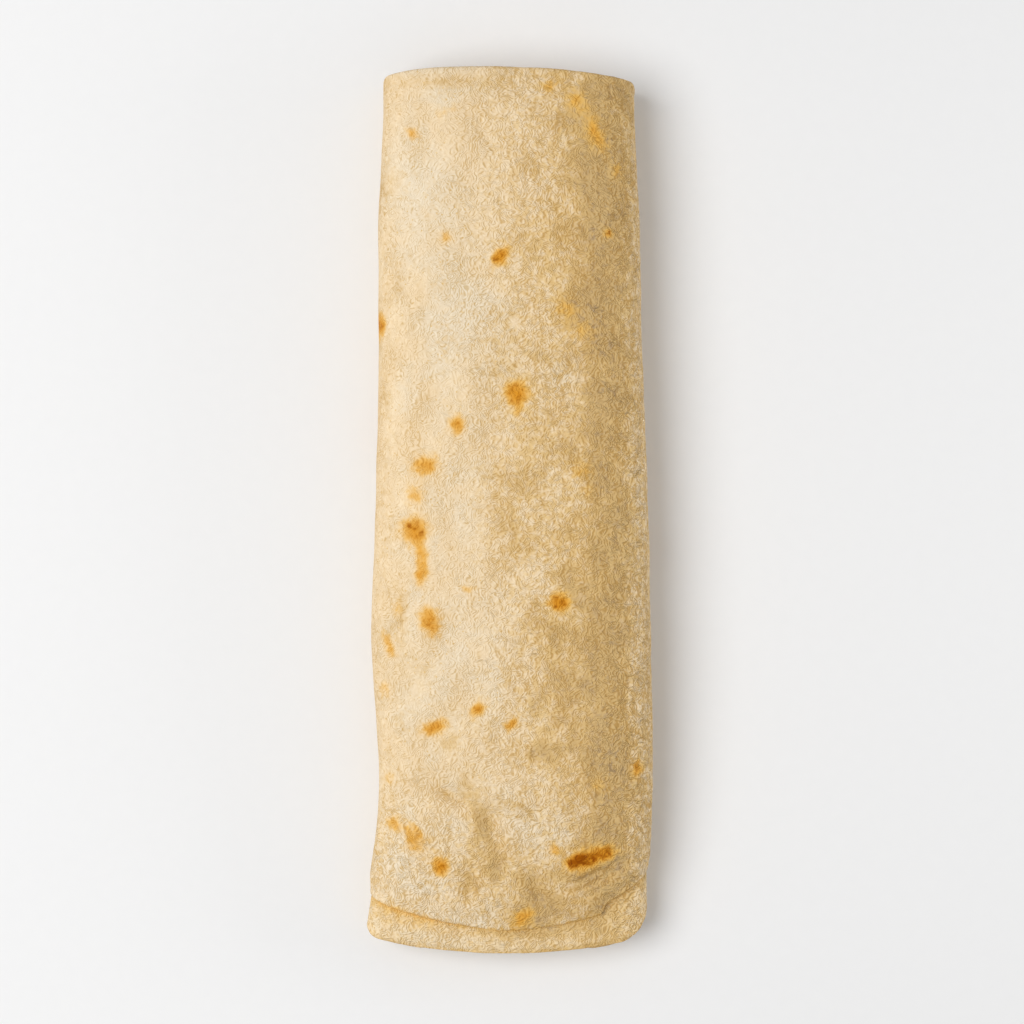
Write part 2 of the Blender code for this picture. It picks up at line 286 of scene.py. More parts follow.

# Damp patches, seen from above, in the same terms as the hollows but for strength in place of depth; those
# over the low end's hollows and along the outer turn's lip are partly painted shade
DAMP_AND_SHADE_PATCHES = (
    (22.3, 108.5, 23.0, 7.0, -59.5, 0.9),
    (25.8, 81.0, 11.0, 6.0, 90.0, 0.6),
    (18.7, 56.2, 10.0, 9.0, 0.0, 0.5),
    (22.3, 46.8, 12.0, 6.0, -70.0, 0.2),
    (27.0, 31.4, 9.0, 8.0, 0.0, 1.1),
    (20.3, 12.1, 7.5, 7.0, 0.0, 0.6),
    (12.1, -33.9, 16.0, 10.0, -20.0, 0.6),
    (27.8, -37.5, 10.0, 6.0, 90.0, 0.5),
    (19.5, -48.5, 9.0, 6.0, 90.0, 0.45),
    (12.6, -58.7, 15.0, 15.0, 0.0, 0.3),
    (26.9, -63.4, 9.0, 8.0, 0.0, 0.2),
    (23.0, -72.5, 13.0, 8.0, -30.0, 0.15),
    (-1.2, 3.3, 24.0, 14.0, 90.0, 0.45),
    (1.0, -10.0, 10.0, 8.0, 0.0, 0.35),
    (6.6, -111.0, 15.0, 6.0, 15.0, 1.1),
    (32.5, -105.5, 14.0, 4.0, 35.0, 0.9),
    (24.0, -111.5, 12.0, 3.0, 14.0, 0.5),
    (-8.0, -85.6, 28.0, 6.0, -72.0, 1.1),
    (-18.0, -77.5, 9.0, 3.5, -35.0, 0.7),
    (5.0, -117.0, 34.0, 6.0, 0.0, 0.8),
    (-4.2, -97.0, 10.0, 4.0, 90.0, 0.8),
    (-10.8, -99.5, 15.0, 6.0, 84.0, 1.0),
    (-30.0, 44.0, 18.0, 8.0, 80.0, 0.25),
    (-26.0, -115.5, 22.0, 3.0, -12.0, 0.8),
    (11.2, 74.5, 18.0, 16.0, 0.0, 0.45),
    (8.5, 74.5, 30.0, 4.0, 33.0, 0.3),
    (24.6, 95.0, 16.0, 8.0, 90.0, 0.5),
    (6.0, 17.0, 36.0, 9.0, 85.0, 0.35),
    (17.0, -18.6, 22.0, 10.0, 90.0, 0.35),
    (17.0, -45.0, 80.0, 8.0, 90.0, 0.25),
    (11.0, -53.0, 28.0, 7.0, 90.0, 0.35),
    (-29.8, -28.0, 22.0, 4.0, 90.0, 0.5),
    (-19.0, -96.0, 14.0, 12.0, 40.0, 0.35),
    (-7.9, -87.0, 14.0, 5.0, 80.0, 0.4),
    (5.8, -105.1, 20.0, 7.0, -63.0, 1.0),
    (-26.0, 91.5, 20.0, 14.0, 90.0, -0.4),
    (-31.2, -110.7, 14.0, 5.0, -18.0, 0.8),
    (-11.0, 58.0, 22.0, 12.0, 40.0, -0.45),
    (-30.0, 36.0, 14.0, 12.0, 90.0, -0.3),
    (-9.5, -35.0, 28.0, 14.0, 75.0, -0.45),
    (-16.0, -63.0, 8.0, 6.0, 0.0, 0.8),
    (11.5, 66.0, 9.0, 12.0, 0.0, 0.6),
    (19.0, 97.0, 24.0, 8.0, -70.0, 0.45),
    (0.5, -74.0, 10.0, 10.0, 0.0, -0.4),
    (-4.0, -49.0, 8.0, 14.0, 0.0, -0.3),
    (21.0, -82.0, 16.0, 10.0, 10.0, -0.4),
    (21.7, 59.5, 9.0, 12.0, 0.0, 0.9),
    (21.7, 95.0, 8.0, 26.0, 0.0, 0.5),
    (-31.2, 92.0, 9.0, 9.0, 0.0, 0.5),
    (-24.6, 62.0, 10.0, 12.0, 0.0, 0.4),
    (-24.6, -43.0, 10.0, 14.0, 0.0, 0.4),
    (15.0, 37.5, 8.0, 8.0, 0.0, -0.6),
    (26.0, 23.0, 14.0, 8.0, 30.0, 0.6),
    (8.5, -7.0, 7.0, 8.0, 0.0, 0.4),
    (35.0, -76.0, 8.0, 12.0, 0.0, 0.5),
    (-12.5, -105.0, 8.0, 7.0, 0.0, 0.4),
    (-4.5, -99.0, 7.0, 9.0, 0.0, 0.5),
    (21.7, -99.7, 10.0, 3.5, 14.0, 0.8),
    (15.0, -88.5, 7.0, 8.0, 0.0, -0.5),
    (-18.0, 119.0, 36.0, 4.0, 0.0, 0.6),
    (8.5, -65.0, 9.0, 9.0, 0.0, 0.8),
    (29.5, 0.5, 10.0, 8.0, 90.0, 0.5),
    (-34.5, 34.0, 14.0, 6.0, 90.0, 0.4),
    (-0.5, -57.0, 12.0, 6.0, 60.0, -0.15),
    (3.0, -88.0, 16.0, 10.0, 0.0, -0.4),
    (-30.0, -103.0, 26.0, 14.0, 90.0, -0.5),
)
# Damp share gained across the roll, between one place and another; the rise on the right flank is partly
# damp colour and partly painted shade where the light falls away from the roll
DAMP_AND_SHADE_ACROSS = (
    (-37.0, -26.0, -0.35),
    (-20.0, 6.0, 0.5),
    (6.0, 20.0, 0.3),
    (18.5, 24.5, 0.75),
    (29.5, 36.5, -0.95),
)
# How damp the two pieces are, and how much damper along the outer turn's low edge; on the inner turns that
# golden band is partly damp colour and partly painted shade under the lip
OUTER_DAMP = (0.35, -0.6)
INNER_DAMP_AND_LIP_SHADE = (-0.1, 1.2)
# Heat along the outer turn's low edge, partly painted shade under its lip, a brown line in its cut that is
# painted shade on the edge facing away from the light, and heat along the low end's rim and on the third
# layer
LIP_WIDTH = 2.2
LIP_HEAT_AND_SHADE = 0.13
CUT_WIDTH = 0.7
CUT_EDGE_SHADE = 0.35
RIM_WIDTH = 1.2
RIM_HEAT = 0.24
THIRD_HEAT = 0.45
THIRD_EDGE = (-0.15, -0.55)
# Loops in from an end face's rim over which the third layer's heat and the toasted spots fade
THIRD_FADE = (20.0, 12.0)
FACE_FADE = (8.0, 3.0)
# How far the marks drift, so that their outlines are ragged
MARK_DRIFT = 0.6
MARK_DRIFT_SIZE = 3.0
MARK_DRIFT_SEEDS = (1.3, 6.1)
# Shares of the girth past the widest part where the top's marks give way to the underside's
TOP_FADE = (-0.04, 0.01)

# Toasted spots drawn at random on the underside: where, in shares of girth and length, and how large
SPOT_SEED = 11
SPOT_COUNT = 46
SPOT_ROUND = (0.27, 0.5)
SPOT_ALONG = 0.48
SPOT_SIZE = (3.0, 7.5)
SPOT_WIDTH = (0.55, 1.0)
SPOT_ANGLE = (0.0, 180.0)
SPOT_STRENGTH = (0.3, 0.95)
SPOT_BROWNING = (0.2, 0.7)
# What all spots gain in spread and heat over their rows
SPOT_SPREAD = 1.2
SPOT_HEAT = 1.25

# The soft light hangs to the upper left of the roll, and a weak one low at its right
KEY_PLACE = (-0.63, 0.02, 1.05)
KEY_SIZE = 0.9
SKY_COLOUR = (1.0, 1.0, 1.0)
SIDE_PLACE = (0.55, 0.0, 0.12)
SIDE_SIZE = 0.3
FLOOR_GRAIN = (4.0, 2.0)
FLOOR_SHADE = 0.98
FLOOR_DULLNESS = 0.85

# Toasted spots, seen from above: across, along, length, width, angle, strength, browning
SPOTS = (
    (-26.7, 104.9, 3.4, 3.0, 0.0, 0.55, 0.25),
    (-18.5, 110.2, 3.0, 2.6, 0.0, 0.3, 0.1),
    (-15.5, 111.2, 2.6, 2.2, 0.0, 0.22, 0.05),
    (-17.4, 75.8, 3.4, 3.2, 0.0, 0.42, 0.15),
    (-2.4, 70.3, 5.6, 3.6, 55.0, 0.9, 0.46),
    (27.2, 77.0, 2.6, 2.6, 0.0, 0.6, 0.62),
    (-35.8, 52.0, 2.6, 6.0, 0.0, 0.75, 0.4),
    (22.5, 106.5, 24.0, 8.0, -66.0, 0.16, 0.0),
    (24.0, 104.4, 8.0, 4.0, -68.0, 0.44, 0.3),
    (18.5, 113.6, 5.0, 4.4, -40.0, 0.34, 0.15),
    (11.2, 117.8, 4.6, 3.0, 20.0, 0.45, 0.2),
    (29.8, 94.6, 3.2, 4.6, 0.0, 0.3, 0.15),
    (19.0, 51.0, 24.0, 9.0, -55.0, 0.13, 0.0),
    (15.6, 56.0, 6.0, 5.0, 20.0, 0.26, 0.1),
    (20.4, 50.0, 5.0, 4.4, 0.0, 0.22, 0.1),
    (2.1, 32.6, 6.0, 5.6, 10.0, 0.94, 0.52),
    (2.4, 27.4, 2.6, 3.4, 0.0, 0.35, 0.05),
    (-14.4, 24.2, 3.8, 4.6, 0.0, 0.72, 0.35),
    (-23.1, 13.1, 6.6, 5.0, 10.0, 0.68, 0.38),
    (-26.0, 5.0, 4.4, 4.4, 0.0, 0.5, 0.1),
    (-26.1, -4.6, 6.8, 6.4, 40.0, 0.82, 0.52),
    (-23.9, -12.0, 3.8, 8.0, 8.0, 0.54, 0.05),
    (-24.4, -17.6, 3.2, 5.4, 0.0, 0.54, 0.1),
    (-21.8, -29.8, 5.0, 7.6, 15.0, 0.74, 0.42),
    (-11.4, -20.8, 3.4, 2.4, 0.0, 0.42, 0.1),
    (13.8, -24.7, 4.8, 4.2, 0.0, 1.05, 0.6),
    (20.0, 11.5, 5.8, 5.0, 0.0, 0.38, 0.2),
    (21.6, 6.2, 3.0, 3.0, 0.0, 0.25, 0.1),
    (-30.6, -26.6, 2.8, 4.8, 0.0, 0.36, 0.05),
    (-33.8, -35.4, 3.0, 4.4, 20.0, 0.5, 0.15),
    (-32.4, -38.7, 2.6, 3.2, 0.0, 0.4, 0.1),
    (-34.6, -48.7, 3.4, 4.4, 0.0, 0.34, 0.05),
    (-20.6, -59.0, 6.6, 3.8, 22.0, 0.78, 0.4),
    (-8.7, -54.0, 4.8, 2.8, 48.0, 0.8, 0.4),
    (0.9, -57.9, 4.0, 2.6, 50.0, 0.7, 0.35),
    (35.4, -70.8, 2.8, 4.4, 0.0, 0.7, 0.45),
    (-31.9, -86.4, 3.8, 4.2, 0.0, 0.5, 0.15),
    (-26.4, -88.4, 6.0, 4.0, -30.0, 0.36, 0.1),
    (-27.3, -92.2, 4.6, 4.6, 20.0, 0.3, 0.1),
    (-33.0, -73.9, 3.4, 3.2, 0.0, 0.3, 0.05),
    (-19.1, -98.2, 3.9, 4.6, 20.0, 0.84, 0.4),
    (12.6, -93.2, 3.2, 3.2, 0.0, 0.5, 0.3),
    (-27.0, -112.6, 17.0, 5.6, -13.0, 0.2, 0.0),
    (-24.5, -92.5, 9.0, 6.0, -60.0, 0.22, 0.0),
    (22.3, -95.6, 17.0, 7.6, 14.0, 0.22, 0.0),
    (18.2, -96.8, 4.6, 3.8, 14.0, 0.76, 0.74),
    (22.2, -95.7, 6.4, 4.0, 14.0, 0.75, 0.76),
    (26.8, -94.2, 4.6, 3.4, 14.0, 0.66, 0.48),
    (4.1, -112.4, 6.4, 3.6, 30.0, 0.7, 0.3),
    (25.0, -74.8, 5.0, 4.4, 0.0, 0.3, 0.2),
)


def smooth_step(low, high, value):
    """0 at low, 1 at high and smooth between, whichever of the two is larger."""
    t = np.clip((value - low) / (high - low), 0.0, 1.0)
    return t * t * (3.0 - 2.0 * t)


def signed_power(value, power):
    """A power of a value's size, with the value's own sign."""
    return np.sign(value) * np.abs(value) ** power


def arc_drop(radius, reach):
    """How far an arc has fallen away from its top at a distance to the side."""
    reach = np.clip(reach, 0.0, radius)
    return radius - np.sqrt(radius**2 - reach**2)


def noise_at(points, size, seed=0.0):
    """Smooth noise from -1 to 1 at an array of points in millimetres, with swells of a size."""
    scaled = points.reshape(-1, 3) / size + seed * SEED_SHIFT
    return np.array([noise.noise(p) for p in scaled.tolist()]).reshape(points.shape[:-1])


def gained(x, rows, total=0.0):
    """A total and what each row adds to it across the roll, between one place and another."""
    for start, end, amount in rows:
        total = total + amount * smooth_step(start, end, x)
    return total


def strokes(x, y, rows):
    """Strength at places of soft strokes, each with its place, length, width, angle and strength."""
    total = np.zeros(np.shape(x))
    for across, along, length, width, angle, strength in rows:
        turn = math.radians(angle)
        dx, dy = x - across, y - along
        down = (dx * math.cos(turn) + dy * math.sin(turn)) / (length / 2)
        over = (dy * math.cos(turn) - dx * math.sin(turn)) / (width / 2)
        total += strength * np.exp(-(down**2) - over**2)
    return total


class RollForm:
    """Finds points of the roll by their share of the girth, their place along it and their depth.

    Shares count from the right side over the top. All lengths in here are in millimetres.
    """

    def __init__(self, sizes):
        self.length = sizes.length / MM
        self.sheet = sizes.sheet / MM
        self.edge_round = sizes.edge_round / MM
        self.setback = sizes.setback / MM
        self.rim_depth = sizes.rim_depth / MM
        self.seam_step = sizes.seam_step / MM
        self.gap = sizes.gap / MM
        self.crinkle = sizes.crinkle / MM
        half, height, _, squareness = self.section(np.zeros(1))
        self.angles = np.linspace(0.0, math.pi, ARC_STEPS)
        x = half * signed_power(np.cos(self.angles), 2 / squareness)
        z = height / 2 * signed_power(np.sin(self.angles), 2 / squareness)
        steps = np.hypot(np.diff(x), np.diff(z))
        self.lengths = np.concatenate(([0.0], np.cumsum(steps)))
        self.girth = 2.0 * self.lengths[-1]

    def section(self, y):
        """Half width, height, sideways shift and squareness of the roll at y, on a smooth curve."""
        share = np.clip(y / self.length + 0.5, 0.0, 1.0)
        last = len(SECTIONS) - 1
        i = np.minimum(np.searchsorted(SECTIONS[1:, 0], share), last - 1)
        before, start = SECTIONS[np.maximum(i - 1, 0)], SECTIONS[i]
        end, after = SECTIONS[i + 1], SECTIONS[np.minimum(i + 2, last)]
        span = end[..., :1] - start[..., :1]
        t = (share[..., None] - start[..., :1]) / span
        rise_start = (end - before) / (end[..., :1] - before[..., :1]) * span
        rise_end = (after - start) / (after[..., :1] - start[..., :1]) * span
        found = (
            (2 * t**3 - 3 * t**2 + 1) * start
            + (t**3 - 2 * t**2 + t) * rise_start
            + (3 * t**2 - 2 * t**3) * end
            + (t**3 - t**2) * rise_end
        )
        height = found[..., 2]
        squareness = SQUARENESS + LOW_SQUARENESS * np.maximum(0.0, 1.0 - height / HIGHEST)
        return found[..., 1], height, found[..., 3], squareness

    def angle_at(self, turn):
        """The section's angle at a share of the girth."""
        half_turns, rest = np.divmod(turn % 1.0, 0.5)
        return half_turns * math.pi + np.interp(rest * self.girth, self.lengths, self.angles)

    def rolled_distance(self, turn):
        """Distance along the sheet from the middle of the top, positive to the right."""
        middle = np.where(turn <= UNDER_MIDDLE, TOP_MIDDLE, 1.0 + TOP_MIDDLE)
        return self.girth * (middle - turn)

    def seam_turn(self, share):
        """Where the free edge lies round the roll: furthest under it at the middle of the length."""
        y = (share - 0.5) * self.length
        reach = np.sqrt(np.maximum(SEAM_RADIUS**2 - y**2, 0.0))
        reach = (reach**SEAM_BEND + SEAM_LEAST_REACH**SEAM_BEND) ** (1 / SEAM_BEND)
        return 1.0 + TOP_MIDDLE - reach / self.girth

    def seam_lift(self, turn, edge):
        """How far the turn past the free edge is off the ground, on the underside."""
        past = (edge - turn) * self.girth
        fade = np.exp(-np.maximum(past, 0.0) / SEAM_FADE) * smooth_step(*SEAM_START, turn)
        return self.seam_step * fade * smooth_step(0.0, SEAM_WIDTH, past)

    def place(self, turn, y, inset, edge=None, flare=0.0):
        """Points at shares of the girth and at y, inset under the outer face, lifted at a free edge."""
        half, height, shift, squareness = self.section(y)
        angle = self.angle_at(turn)
        across = signed_power(np.cos(angle), 2 / squareness)
        up = signed_power(np.sin(angle), 2 / squareness)
        # the section hangs through the ground, and settles on it in a flat strip with round sides
        sink = np.maximum(FLAT_SINK * height, FLAT_SINK_LEAST)
        hang = (height - sink) / 2 + (height + sink) / 2 * up
        settled = np.maximum(hang + FLAT_ROUND, 0.0) ** 2 / (4.0 * FLAT_ROUND)
        outer_up = np.where(hang >= FLAT_ROUND, hang, settled)
        sag = SAG_SHARE * np.minimum(inset, self.sheet) * smooth_step(*SAG_RANGE, -up)
        depth = inset - sag
        x = shift + (half - depth + flare) * across
        bed = np.stack(np.broadcast_arrays(x, y, outer_up), axis=-1)
        swell = UNEVENNESS * smooth_step(*SWELL_RANGE, up) * noise_at(bed, UNEVENNESS_SIZE)
        pressed = strokes(x, y, HOLLOWS) * smooth_step(*HOLLOW_RANGE, up) - swell
        z = outer_up - (depth + pressed) * up
        if edge is not None:
            lift = self.seam_lift(turn, edge) * np.maximum(1.0 - inset / self.sheet, 0.0)
            z += lift * smooth_step(self.rim_depth, SEAM_END_FADE, self.length / 2 - np.abs(y))
        return np.stack(np.broadcast_arrays(x + swell * across, y, np.maximum(z, 0.0)), axis=-1)

    def outer_low_end(self, turn):
        """Where the outer turn ends at the low end, with its corner torn off at the right."""
        rolled = self.rolled_distance(turn)
        reach = np.minimum(np.abs(rolled), OUTER_EDGE_REACH)
        taper = OUTER_TAPER * (np.hypot(reach, OUTER_POINT_ROUND) - OUTER_POINT_ROUND)
        corner = CORNER_CUT * np.clip((rolled - CORNER_START) / (CORNER_END - CORNER_START), 0, 1)
        corner += CORNER_NOTCH * smooth_step(CORNER_START, CORNER_START + NOTCH_WIDTH, rolled)
        corner *= smooth_step(self.girth / 2, self.girth / 3, np.abs(rolled))
        back = self.setback + taper + arc_drop(OUTER_EDGE_RADIUS, reach) + corner
        return back - self.length / 2

    def end_reach(self, turn, y):
        """The half width of an end and how far to the side each share of its girth lies."""
        half, _, _, squareness = self.section(np.full(1, y))
        return half, half * signed_power(np.cos(self.angle_at(turn)), 2 / squareness)

    def inner_low_end(self, turn):
        """Where the inner turns end at the low end, with a rounded corner at each side."""
        half, x = self.end_reach(turn, -self.length / 2)
        corner = np.where(x > 0, RIGHT_CORNER, LEFT_CORNER)
        rounding = arc_drop(corner, np.abs(x) - (half - corner))
        return arc_drop(INNER_END_RADIUS, np.abs(x)) + rounding - self.length / 2

    def outer_high_end(self, turn):
        """Where the outer turn ends at the high end."""
        half, x = self.end_reach(turn, self.length / 2)
        rounding = arc_drop(HIGH_CORNER, np.abs(x) - (half - HIGH_CORNER))
        drop = arc_drop(HIGH_END_RADIUS, np.abs(x)) + HIGH_END_SKEW * x + rounding
        return self.length / 2 - drop

    def inner_high_end(self, turn):
        """Where the inner turns end, set back from the outer turn at the high end."""
        return self.outer_high_end(turn) - self.rim_depth

    def peek_depth(self, turn):
        """How far the third turn's edge stands past the second's, near both sides of the low end."""
        angle = self.angle_at(turn)
        side = np.abs(np.cos(angle))
        window = smooth_step(*PEEK_START, side) * (1.0 - smooth_step(*PEEK_END, side))
        return PEEK * window * smooth_step(*PEEK_RISE, np.sin(angle))

    def outer_columns(self, share):
        """Shares of the girth for the outer turn's columns: close together on top, and down the step."""
        top = LEFT_SIDE * np.arange(TOP_COLUMNS) / TOP_COLUMNS
        top = np.broadcast_to(top, (len(share), TOP_COLUMNS))
        edge = self.seam_turn(share)
        step = SEAM_WIDTH / self.girth
        left_part = (np.arange(LEFT_COLUMNS) / LEFT_COLUMNS) ** COLUMN_EASE
        right_part = (1.0 - np.arange(1, RIGHT_COLUMNS) / RIGHT_COLUMNS) ** COLUMN_EASE
        left = LEFT_SIDE + (edge - step - LEFT_SIDE) * left_part
        down = edge - step * np.array(SEAM_STEPS)
        right = 1.0 - (1.0 - edge) * right_part
        return np.concatenate((top, left, down, right), axis=1)

    def outer_turn(self):
        """Points and shares of loops over the outer face, the high edge, the inside and the low edge."""
        body = np.linspace(0.0, 1.0, BODY_ROWS)
        over = np.linspace(0.0, math.pi, EDGE_ROWS + 1)[1:-1]
        back = np.concatenate((
            np.linspace(1.0, 1.0 - RIM_SHARE, RIM_ROWS),
            np.linspace(1.0 - RIM_SHARE, RIM_SHARE, HIDDEN_ROWS)[1:-1],
            np.linspace(RIM_SHARE, 0.0, LIP_ROWS),
        ))
        # share runs from the low end to the high one, past round an edge, under from face to inside
        share = np.concatenate((body, np.ones(len(over)), back, np.zeros(len(over))))[:, None]
        past = np.concatenate((0.0 * body, np.sin(over), 0.0 * back, -np.sin(over)))[:, None]
        under = 0.5 - 0.5 * np.cos(over)
        under = np.concatenate((0.0 * body, under, np.ones(len(back)), under[::-1]))[:, None]
        turn = self.outer_columns(share)
        low = self.outer_low_end(turn) + self.edge_round
        high = self.outer_high_end(turn) - self.edge_round
        y = low + share * (high - low) + self.edge_round * past
        press = LIP_PRESS * np.exp(-(((y - low) / LIP_PRESS_WIDTH) ** 2))
        inset = press + (self.sheet - press) * under
        return self.place(turn, y, inset, self.seam_turn(share)), turn

    def spiral_face(self, turn, end, spiral, inward, peek=False, flare=0.0):
        """Loops over an end face from its rim to its middle, with a gap between turns.

        Inward is the way along the roll that leads into it from this face, 1 or -1.
        """
        pitch, gap_depth, loops = spiral
        part = np.arange(loops)[:, None] / (loops - 1)
        y = end(turn)
        outer = self.sheet + self.gap
        inset = outer + FACE_REACH * (self.section(y)[1] / 2 - outer) * part
        depth = (inset - outer) / pitch
        coil = depth - smooth_step(LEFT_SIDE, 1.0, turn)
        off = np.abs(coil - np.round(coil)) * pitch
        gap = gap_depth * np.exp(-((off / GAP_WIDTH) ** 2)) + arc_drop(TURN_ROUND, TURN_ROUND - off)
        gap *= smooth_step(*GAP_START, depth)
        gap += arc_drop(self.edge_round, self.edge_round - (inset - outer))
        uneven = STAGGER * (1.0 + np.sin(STAGGER_PACE * (np.floor(coil) + turn) + STAGGER_PHASE))
        back = gap + uneven * smooth_step(*STAGGER_START, depth) + FACE_BULGE * (inset - outer)
        past = self.peek_depth(turn) * smooth_step(*PEEK_DEPTH, depth) if peek else 0.0
        points = self.place(turn, y, inset, flare=flare * (1.0 - part))
        points[..., 1] += inward * (back * (1.0 - past / PEEK) - past)
        return points

    def inner_turns(self):
        """Points and shares of loops over the low face, the band past the outer turn and the high face."""
        turn = np.arange(INNER_COLUMNS)[None, :] / INNER_COLUMNS
        outer = self.sheet + self.gap
        low_face = self.spiral_face(turn, self.inner_low_end, LOW_SPIRAL, 1.0, True, INNER_FLARE)
        high_face = self.spiral_face(turn, self.inner_high_end, HIGH_SPIRAL, -1.0)
        low = self.inner_low_end(turn) + self.edge_round
        under = self.outer_low_end(turn) + BAND_OVERLAP
        part = np.arange(1, BAND_ROWS + 1)[:, None] / BAND_ROWS
        flare = INNER_FLARE * (1.0 - FLARE_LOSS * part)
        band = self.place(turn, low + part * (under - low), outer, flare=flare)
        high = self.inner_high_end(turn) - self.edge_round
        part = np.arange(1, HIDDEN_ROWS)[:, None] / HIDDEN_ROWS
        flare = (1.0 - FLARE_LOSS) * INNER_FLARE * smooth_step(*FLARE_FADE, part)
        sink = HIDDEN_SINK * smooth_step(*SINK_START, part) * smooth_step(*SINK_END, part)
        hidden = self.place(turn, under + part * (high - under), outer + sink, flare=flare)
        points = np.concatenate((low_face[::-1], band, hidden, high_face))
        return points, np.broadcast_to(turn, points.shape[:2])

    def loops_in(self, loops):
        """How many loops in from an end face's rim each of the inner turns' loops is, 0 or less between."""
        loop = np.arange(loops)[:, None]
        return np.maximum(LOW_SPIRAL[2] - loop, loop - (loops - HIGH_SPIRAL[2]))


def grid_normals(points):
    """Directions out of the skin at a grid of points, for loops that run from the low end."""
    round_the_roll = np.roll(points, -1, axis=1) - np.roll(points, 1, axis=1)
    along = np.gradient(points, axis=0)
    normal = np.cross(along, round_the_roll)
    return normal / np.maximum(np.linalg.norm(normal, axis=-1, keepdims=True), LEAST_LENGTH)


def coarseness(x, y):
    """How coarse the skin's crinkle is: least on the left, more to the right and at the low end."""
    right = np.maximum(smooth_step(*COARSE_ACROSS, x), smooth_step(*COARSE_ALONG, y))
    return gained(x, COARSE_RIM, COARSE_LEFT + COARSE_GAIN * right)


def crinkled(points, top, depth):
    """Points moved by the skin's own relief of bumps, creases and crinkle, and how lit its sides are, which
    the skin's colour takes as painted highlight and painted shade.
    """
    spacing = np.linalg.norm(np.roll(points, -1, axis=1) - points, axis=-1)
    fine = smooth_step(*CRINKLE_SPACING, spacing)
    x, y = points[..., 0], points[..., 1]
    drift = np.stack([noise_at(points, WARP_SIZE, seed) for seed in WARP_SEEDS], axis=-1)
    warped = points + WARP_REACH * drift
    crinkle = noise_at(warped, CRINKLE_SIZE, CRINKLE_SEED)
    folds = 1.0 - np.abs(noise_at(warped, FOLD_SIZE, FOLD_SEED)) / FOLD_WIDTH
    amount = depth * (coarseness(x, y) - MESH_COARSENESS)
    relief = amount * fine * (crinkle + FOLD_SHARE * np.maximum(folds, FOLD_LOW))
    relief += BUMP * top * noise_at(points, BUMP_SIZE, BUMP_SEED)
    relief -= top * strokes(x, y, CREASES)
    moved = points + relief[..., None] * grid_normals(points)
    moved[..., 2] = np.maximum(moved[..., 2], 0.0)
    rise = np.roll(relief, 1, axis=1) - np.roll(relief, -1, axis=1)
    lit = rise / np.maximum(spacing + np.roll(spacing, 1, axis=1), LIT_SPACING)
    return moved, np.clip(lit / LIT_SLOPE, -1.0, 1.0) * top


def scattered_spots(form):
    """Toasted spots drawn at random, with their places along the sheet instead of seen from above."""
    draw = random.Random(SPOT_SEED)
    least, most = (share * form.girth for share in SPOT_ROUND)
    reach = SPOT_ALONG * form.length
    spots = []
    for _ in range(SPOT_COUNT):
        across = draw.choice((-1.0, 1.0)) * draw.uniform(least, most)
        size = draw.uniform(*SPOT_SIZE)
        heat = draw.uniform(*SPOT_STRENGTH)
        spots.append((
            across,
            draw.uniform(-reach, reach),
            size,
            size * draw.uniform(*SPOT_WIDTH),
            draw.uniform(*SPOT_ANGLE),
            heat,
            heat * draw.uniform(*SPOT_BROWNING),
        ))
    return spots


def spot_masks(spots, x, y):
    """How toasted and how brown places are under a list of spots."""
    toasted, browned = [], []
    for across, along, length, width, angle, heat, browning in spots:
        shape = (across, along, SPOT_SPREAD * length, SPOT_SPREAD * width, angle)
        toasted.append((*shape, heat))
        browned.append((*shape, browning))
    return SPOT_HEAT * strokes(x, y, toasted), SPOT_HEAT * strokes(x, y, browned)


class Mask:
    """A node's output, so that masks are added, multiplied and mixed as plain expressions."""

    def __init__(self, recipe, socket):
        self.recipe = recipe
        self.socket = socket

    def math(self, operation, first, second):
        """A Math node on two numbers or outputs."""
        return self.recipe.node("Math", {"operation": operation}, {0: first, 1: second})

    def __add__(self, other):
        return self.math("ADD", self, other)

    __radd__ = __add__

    def __sub__(self, other):
        return self.math("SUBTRACT", self, other)

    def __rsub__(self, other):
        return self.math("SUBTRACT", other, self)

    def __mul__(self, other):
        return self.math("MULTIPLY", self, other)

    __rmul__ = __mul__

    def __abs__(self):
        return self.math("ABSOLUTE", self, 0.0)


